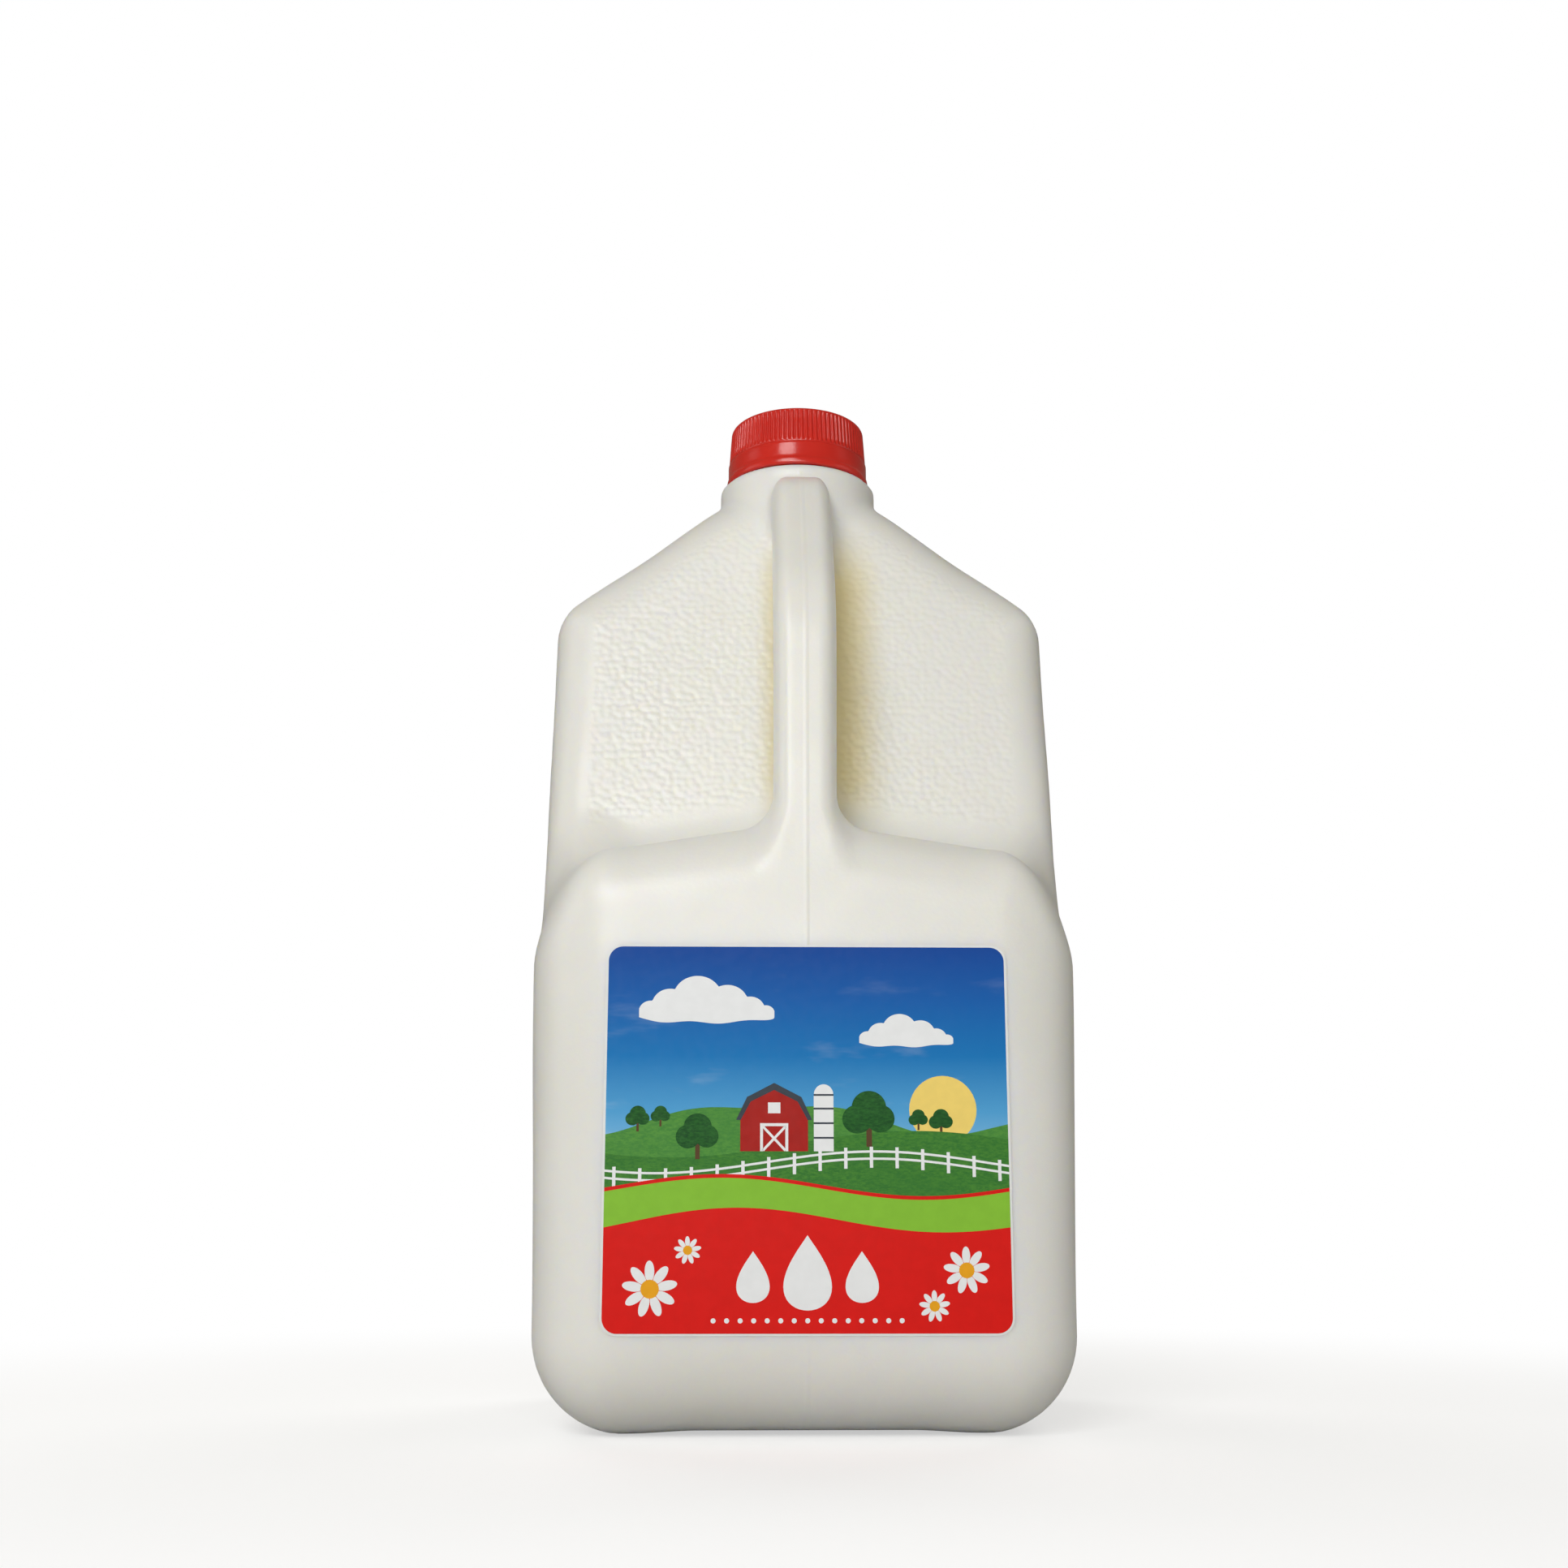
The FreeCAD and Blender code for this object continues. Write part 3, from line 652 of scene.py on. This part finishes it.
def make_cap(material):
    def ribbed(r, z, angle):
        phase = (angle * RIBS / (2 * math.pi)) % 1.0
        groove = 1 - smooth(0.08, 0.34, np.abs(phase - 0.5))
        depth = RIB_DEPTH * smooth(275.1, 275.9, z) * (1 - smooth(283.9, 285.1, z)) if r > 19.0 else 0.0
        return r - depth * groove

    rings = [(0, 285.25), (2.0, 285.25), (6.0, 285.25), (12.0, 285.25), (16.6, 285.25), (17.0, 285.3), (17.4, 285.5),
             (17.8, 285.6), (18.7, 285.6)]
    for k in range(1, CAP_EDGE_STEPS + 1):
        a = math.pi / 2 * k / CAP_EDGE_STEPS
        rings.append((18.75 + CAP_EDGE_RADIUS * math.sin(a), 284.4 + CAP_EDGE_RADIUS * math.cos(a)))
    # the ribbed wall, the groove under it, the smooth band, its lip, then back up the hollow
    rings += [(20.0, 283.6), (20.12, 282.0), (20.25, 280.0), (20.38, 278.0), (20.48, 276.6), (20.53, 275.9),
              (20.56, 275.4)]
    rings += [(20.5, 275.05), (20.42, 274.9), (20.42, 274.7), (20.62, 274.55)]
    rings += [(20.78, 274.35), (20.8, 274.0), (20.8, 272.4), (20.8, 270.6), (20.84, 269.9)]
    rings += [(20.95, 269.55), (21.14, 269.3), (21.2, 268.9), (21.2, 268.0), (21.12, 267.6), (20.9, 267.4)]
    rings += [(19.6, 267.4), (19.4, 267.8), (19.3, 271.0), (18.6, 272.5), (18.55, 282.8), (18.3, 283.0), (0, 283.0)]
    cap = revolve("cap_shell", rings[::-1], RIBS * STEPS_PER_RIB, material, ribbed)
    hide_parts("cap")


# ---------------------------------------------------------------- label

LABEL_LOW, LABEL_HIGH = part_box("label")
LABEL_HALF = LABEL_HIGH.x / MM
LABEL_FOOT = LABEL_LOW.z / MM
LABEL_TOP = LABEL_HIGH.z / MM
LABEL_BACK = LABEL_HIGH.y / MM
LABEL_CORNER = 4.1
FILM = 0.13
INK = 0.028
PRINT_INSET = 0.55


def outline_limits(u, inset):
    """The label's lowest and highest height at u, with its rounded corners, drawn in by inset."""
    half, r = LABEL_HALF - inset, LABEL_CORNER - inset
    over = np.clip(np.abs(u) - (half - r), 0, r)
    drop = r - np.sqrt(np.maximum(r * r - over * over, 0))
    return LABEL_FOOT + inset + drop, LABEL_TOP - inset - drop


def columns(inset):
    """The places across the label, closer together round its corners."""
    half, r = LABEL_HALF - inset, LABEL_CORNER - inset
    curve = half - r + r * np.sin(np.linspace(0, math.pi / 2, 12))
    middle = np.linspace(-(half - r), half - r, 161)
    return np.concatenate([-curve[::-1], middle[1:-1], curve])


def layer_y(level):
    """The front of a printed layer: each level stands one ink's thickness further out."""
    return LABEL_BACK - FILM - INK * level


def solid_between(name, u, low, high, level, material, thick=INK):
    """A thin printed field between two curves over u."""
    front = layer_y(level)
    back = front + thick
    n = len(u)
    vertices = [(a, front, b) for a, b in zip(u, low)] + [(a, front, b) for a, b in zip(u, high)]
    vertices += [(a, back, b) for a, b in zip(u, low)] + [(a, back, b) for a, b in zip(u, high)]
    faces = []
    for k in range(n - 1):
        faces.append((k, k + 1, n + k + 1, n + k))
        faces.append((2 * n + k, 3 * n + k, 3 * n + k + 1, 2 * n + k + 1))
        faces.append((k + 1, k, 2 * n + k, 2 * n + k + 1))
        faces.append((n + k, n + k + 1, 3 * n + k + 1, 3 * n + k))
    faces.append((0, n, 3 * n, 2 * n))
    faces.append((2 * n - 1, n - 1, 3 * n - 1, 4 * n - 1))
    return add_piece(name, vertices, faces, material, smooth_faces=False)


def field(name, low_curve, high_curve, level, material):
    """A printed field right across the label; None takes it to the label's own edge."""
    u = columns(PRINT_INSET)
    floor, ceiling = outline_limits(u, PRINT_INSET)
    bottom = floor if low_curve is None else np.clip(low_curve(u), floor, ceiling)
    top = ceiling if high_curve is None else np.clip(high_curve(u), floor, ceiling)
    solid_between(name, u, bottom, np.maximum(top, bottom), level, material)


def shapes(name, outlines, level, material):
    """Several closed outlines of (u, v) points as one thin printed piece."""
    front = layer_y(level)
    back = front + INK
    vertices, faces = [], []
    for outline in outlines:
        start, n = len(vertices), len(outline)
        area = sum(a[0] * b[1] - b[0] * a[1] for a, b in zip(outline, outline[1:] + outline[:1]))
        if area < 0:
            outline = outline[::-1]
        vertices += [(u, front, v) for u, v in outline] + [(u, back, v) for u, v in outline]
        faces.append(tuple(start + k for k in range(n)))
        faces.append(tuple(start + n + k for k in range(n))[::-1])
        for k in range(n):
            m = (k + 1) % n
            faces.append((start + m, start + k, start + n + k, start + n + m))
    add_piece(name, vertices, faces, material, smooth_faces=False)


def ellipse(u, v, a, b, turn=0.0, n=40):
    out = []
    for k in range(n):
        t = 2 * math.pi * k / n
        p, q = a * math.cos(t), b * math.sin(t)
        out.append((u + p * math.cos(turn) - q * math.sin(turn), v + p * math.sin(turn) + q * math.cos(turn)))
    return out


def drop(u, v, width, height):
    """A drop of milk with its point up."""
    out = []
    n = 48
    for k in range(n):
        t = 2 * math.pi * k / n
        out.append((u + width / 2 * math.sin(t) * math.sin(t / 2) ** 1.2 * 1.25, v + height / 2 * math.cos(t)))
    return out


def rectangle(u0, v0, u1, v1):
    return [(u0, v0), (u1, v0), (u1, v1), (u0, v1)]


def bar_between(a, b, width):
    """A straight stroke from a to b."""
    du, dv = b[0] - a[0], b[1] - a[1]
    k = width / 2 / math.hypot(du, dv)
    return [(a[0] + dv * k, a[1] - du * k), (b[0] + dv * k, b[1] - du * k),
            (b[0] - dv * k, b[1] + du * k), (a[0] - dv * k, a[1] + du * k)]


def cloud(name, cu, cv, s, material):
    puffs = ((-11.5, 0.2, 2.6), (-7.4, 1.6, 3.9), (-1.6, 3.2, 5.2),
             (4.8, 2.0, 4.4), (9.6, 0.6, 3.2), (13.0, -0.1, 1.9))
    u = cu + s * np.linspace(-14.0, 14.8, 120)
    top = np.full_like(u, cv - 0.8 * s)
    for du, dv, r in puffs:
        inside = np.maximum((r * s) ** 2 - (u - cu - du * s) ** 2, 0)
        top = np.where(inside > 0, np.maximum(top, cv + dv * s + 0.9 * np.sqrt(inside)), top)
    bottom = cv - s * (0.8 + 1.3 * np.sqrt(np.clip(1 - ((u - cu) / (14.8 * s)) ** 2, 0, 1))
                       + 0.25 * np.sin((u - cu) / (1.9 * s)))
    solid_between(name, u, bottom, np.maximum(top, bottom + 0.02), 2, material)


def tree(name, u, v, s, level, leaf, bark):
    shapes(name + "_trunk", [rectangle(u - 0.5 * s, v, u + 0.5 * s, v + 3.4 * s)], level, bark)
    for k, (du, dv, r) in enumerate(((-2.1, 4.9, 2.7), (2.0, 5.0, 2.6), (0.0, 7.0, 3.1))):
        crown = ellipse(u + du * s, v + dv * s, r * s, r * 0.95 * s)
        shapes(f"{name}_crown{k}", [crown], level + 0.2 + 0.15 * k, leaf)


def daisy(name, u, v, s, level, white, gold):
    petals = []
    count = 9
    for k in range(count):
        a = 2 * math.pi * k / count + 0.2
        petals.append(ellipse(u + 3.3 * s * math.cos(a), v + 3.3 * s * math.sin(a), 2.0 * s, 0.92 * s, a, 24))
    shapes(name + "_petals", petals, level, white)
    shapes(name + "_centre", [ellipse(u, v, 1.75 * s, 1.75 * s)], level + 0.5, gold)


def barn(u, v, red, white, slate):
    """A barn with its silo; (u, v) is the middle of the barn's foot."""
    dome = [(u + 12.0 + 2.4 * math.cos(t), v + 13.0 + 2.6 * math.sin(t)) for t in np.linspace(0.3, math.pi - 0.3, 12)]
    silo = [(u + 9.6, v - 0.5), (u + 14.4, v - 0.5), (u + 14.4, v + 13.0)] + dome + [(u + 9.6, v + 13.0)]
    bands = [rectangle(u + 9.6, v + h, u + 14.4, v + h + 0.45) for h in (2.5, 6.0, 9.5, 12.8)]
    wall = [(u - 8.2, v - 0.5), (u + 8.2, v - 0.5), (u + 8.2, v + 7.4), (u + 6.0, v + 11.8), (u, v + 14.6),
            (u - 6.0, v + 11.8), (u - 8.2, v + 7.4)]
    roof = [(u - 9.2, v + 7.0), (u - 8.1, v + 7.0), (u - 5.7, v + 11.4), (u, v + 14.2), (u + 5.7, v + 11.4),
            (u + 8.1, v + 7.0), (u + 9.2, v + 7.0), (u + 6.6, v + 12.5), (u, v + 15.9), (u - 6.6, v + 12.5)]
    shapes("barn_silo", [silo], 4, white)
    shapes("barn_bands", bands, 4.4, slate)
    shapes("barn_wall", [wall], 4, red)
    shapes("barn_roof", [roof], 4.5, slate)
    frame_bars = [rectangle(u - 3.4, v - 0.5, u - 2.7, v + 6.2), rectangle(u + 2.7, v - 0.5, u + 3.4, v + 6.2),
                  rectangle(u - 2.7, v + 5.5, u + 2.7, v + 6.2), rectangle(u - 1.5, v + 8.6, u + 1.5, v + 11.2)]
    shapes("barn_trim", frame_bars, 4.5, white)
    shapes("barn_brace_a", [bar_between((u - 2.7, v - 0.3), (u + 2.7, v + 5.4), 0.6)], 4.5, white)
    shapes("barn_brace_b", [bar_between((u - 2.7, v + 5.4), (u + 2.7, v - 0.3), 0.6)], 4.7, white)


def make_label():
    film = print_material("label_film_white", srgb(238, 240, 238), 0.03)
    u = columns(0.0)
    low, high = outline_limits(u, 0.0)
    base = solid_between("label_film", u, low, high, 0, film, FILM)
    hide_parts("label")
    white = print_material("print_white", srgb(244, 246, 247), 0.03)
    gold = print_material("print_gold", srgb(244, 172, 34), 0.06)
    slate = print_material("print_slate", srgb(66, 74, 84), 0.10)
    red = print_material("print_red", srgb(228, 28, 22), 0.05)
    barn_red = print_material("print_barn_red", srgb(178, 36, 30), 0.10)
    lime = print_material("print_lime", srgb(141, 200, 60), 0.05)
    leaf = grass_material("print_leaf", srgb(46, 108, 44), srgb(26, 78, 34))
    bark = print_material("print_bark", srgb(96, 70, 44), 0.10)
    far = grass_material("print_far_hill", srgb(92, 156, 66), srgb(70, 136, 60))
    near = grass_material("print_near_hill", srgb(78, 142, 54), srgb(54, 118, 50))

    field("label_sky", lambda u: np.full_like(u, 66.0), None, 1, sky_material(0.068, LABEL_TOP * MM))
    cloud("label_cloud_left", -25.0, 101.0, 1.15, white)
    cloud("label_cloud_right", 24.0, 94.5, 0.8, white)
    shapes("label_sun", [ellipse(33.0, 77.5, 8.2, 8.2)], 1.5, print_material("print_sun", srgb(252, 222, 120), 0.05))
    field("label_far_hill", lambda u: np.full_like(u, 60.0),
          lambda u: 75.5 + 3.4 * np.sin(u / 15.0 + 2.2) + 1.1 * np.sin(u / 6.5), 2, far)
    far_trees = ((-41.0, 72.2, 0.62), (-35.5, 73.4, 0.5), (27.0, 72.6, 0.5), (32.5, 71.5, 0.62))
    for k, (tu, tv, ts) in enumerate(far_trees):
        tree(f"label_far_tree{k}", tu, tv, ts, 2.3, leaf, bark)
    field("label_near_hill", lambda u: np.full_like(u, 50.0),
          lambda u: 69.2 + 3.2 * np.sin(u / 19.0 + 0.2), 3, near)
    barn(-8.0, 68.0, barn_red, white, slate)
    tree("label_tree_a", 15.0, 68.6, 1.35, 3.6, leaf, bark)
    tree("label_tree_b", -26.5, 65.6, 1.1, 3.6, leaf, bark)

    def fence_height(u):
        return 63.4 + 2.6 * np.sin(u / 17.0 + 0.6)

    posts = [rectangle(x - 0.4, fence_height(x) - 2.4, x + 0.4, fence_height(x) + 2.6)
             for x in np.arange(-46.5, 47, 6.2)]
    shapes("label_fence_posts", posts, 3.6, white)
    for k, rise in enumerate((-0.5, 1.2)):
        field(f"label_fence_rail{k}", lambda u: fence_height(u) + rise,
              lambda u: fence_height(u) + rise + 0.55, 3.9, white)

    def wave(u):
        return 58.6 + 2.6 * np.sin(u / 15.5 + 2.9)

    field("label_red", None, lambda u: wave(u) + 0.9, 4, red)
    field("label_lime", lambda u: wave(u) - 7.6 + 1.0 * np.cos(u / 19), wave, 5, lime)
    drops = [drop(0.0, 39.0, 12.5, 17.5), drop(-13.0, 38.0, 8.6, 12.0), drop(13.0, 38.0, 8.6, 12.0)]
    shapes("label_drops", drops, 5, white)
    shapes("label_dots", [ellipse(x, 27.9, 0.6, 0.6, 0, 20) for x in np.arange(-22.4, 22.5, 3.2)], 5, white)
    daisy("label_daisy_left", -37.5, 35.2, 1.25, 5, white, gold)
    daisy("label_daisy_left_small", -28.6, 44.2, 0.62, 5, white, gold)
    daisy("label_daisy_right", 38.0, 39.5, 1.05, 5, white, gold)
    daisy("label_daisy_right_small", 30.2, 31.2, 0.7, 5, white, gold)


# ---------------------------------------------------------------- light, floor, world

KEY_POWER = 5.3
FILL_POWER = 4.6
LEFT_POWER = 1.4
RIGHT_POWER = 0.9
BACK_POWER = 3.8
WORLD_STRENGTH = 0.16
WORLD_COLOUR = (1.0, 0.93, 0.76, 1.0)
FLOOR_LIFT = 0.53  # what the floor gives off towards the camera alone
FLOOR_RADIUS = 6.0
FLOOR_DROP = 0.0002  # keeps the floor clear of the feet
LAMP_DISTANCE = 1.3
LAMP_CENTRE_Z = 0.14


def add_light(name, at, aim, size, power, glossy=True):
    data = bpy.data.lights.new(name, "AREA")
    data.shape = "DISK"
    data.size, data.energy = size, power
    lamp = bpy.data.objects.new(name, data)
    lamp.location = at
    lamp.visible_glossy = glossy
    lamp.rotation_euler = (Vector(aim) - Vector(at)).to_track_quat("-Z", "Y").to_euler()
    bpy.context.scene.collection.objects.link(lamp)


def spot_at(azimuth, elevation):
    """A lamp's place, in degrees: azimuth turns from the front towards +X, elevation goes up."""
    a, e = math.radians(azimuth), math.radians(elevation)
    return (LAMP_DISTANCE * math.sin(a) * math.cos(e), -LAMP_DISTANCE * math.cos(a) * math.cos(e),
            LAMP_CENTRE_Z + LAMP_DISTANCE * math.sin(e))


def make_studio():
    add_light("key_light", spot_at(-18, 26), (0, 0, 0.15), 0.55, KEY_POWER)
    add_light("fill_light", spot_at(-4, 10), (0, 0, 0.14), 0.60, FILL_POWER)
    add_light("left_light", spot_at(-78, 14), (0, 0, 0.12), 0.80, LEFT_POWER)
    add_light("right_light", spot_at(76, 12), (0, 0, 0.12), 0.80, RIGHT_POWER)
    for name, azimuth in (("back_left_light", -148), ("back_right_light", 148)):
        add_light(name, spot_at(azimuth, 35), (0, 0, 0.14), 0.80, BACK_POWER, glossy=False)
    world = bpy.data.worlds.new("studio_world")
    bpy.context.scene.world = world
    world.use_nodes = True
    tree = world.node_tree
    ambient = tree.nodes["Background"]
    ambient.inputs["Color"].default_value = WORLD_COLOUR
    ambient.inputs["Strength"].default_value = WORLD_STRENGTH
    white = tree.nodes.new("ShaderNodeBackground")
    white.inputs["Color"].default_value = (1, 1, 1, 1)
    path = tree.nodes.new("ShaderNodeLightPath")
    blend = tree.nodes.new("ShaderNodeMixShader")
    tree.links.new(path.outputs["Is Camera Ray"], blend.inputs[0])
    tree.links.new(ambient.outputs[0], blend.inputs[1])
    tree.links.new(white.outputs[0], blend.inputs[2])
    tree.links.new(blend.outputs[0], tree.nodes["World Output"].inputs["Surface"])

    bm = bmesh.new()
    bmesh.ops.create_circle(bm, cap_ends=True, segments=96, radius=FLOOR_RADIUS)
    mesh = bpy.data.meshes.new("floor")
    bm.to_mesh(mesh)
    bm.free()
    mesh.materials.append(floor_material())
    floor = bpy.data.objects.new("floor", mesh)
    floor.location.z = -FLOOR_DROP
    bpy.context.scene.collection.objects.link(floor)


make_studio()
make_bottle(bottle_material())
make_cap(cap_material())
make_label()

bpy.context.view_layer.update()
